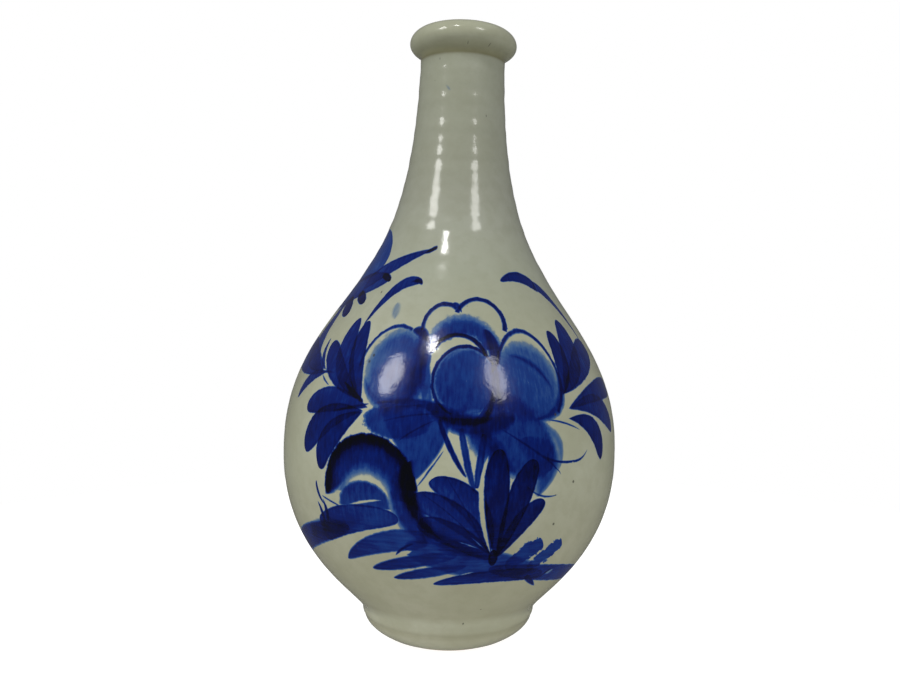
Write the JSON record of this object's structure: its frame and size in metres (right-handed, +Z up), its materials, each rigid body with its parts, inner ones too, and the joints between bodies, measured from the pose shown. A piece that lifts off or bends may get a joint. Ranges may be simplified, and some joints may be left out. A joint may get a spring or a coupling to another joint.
{
  "type": "sake bottle",
  "caption": "Tall wheel-thrown stoneware sake bottle: round belly, long slightly leaning neck, rolled lip and turned foot, grey-green glaze with hand-brushed cobalt flowers.",
  "frame": {"origin": "centre of the resting plane under the foot", "axes": "+Z up along the lower body's axis, +X to the right of the painted front (the neck leans towards +X), +Y to the back"},
  "size_m": [0.1508, 0.1508, 0.2774],
  "materials": {
    "glaze": "glossy grey-green ash glaze with brushed cobalt painting under it",
    "clay": "bare fired stoneware, matt"
  },
  "bodies": {
    "root": {"foot_ring": "clay", "base_disc": "clay", "lower_body": "clay", "upper_body": "clay", "neck_base": "clay", "neck": "clay", "mouth_ring": "clay", "outer_glaze": "glaze", "inner_glaze": "glaze", "well_glaze": "glaze"}
  },
  "joints": []
}
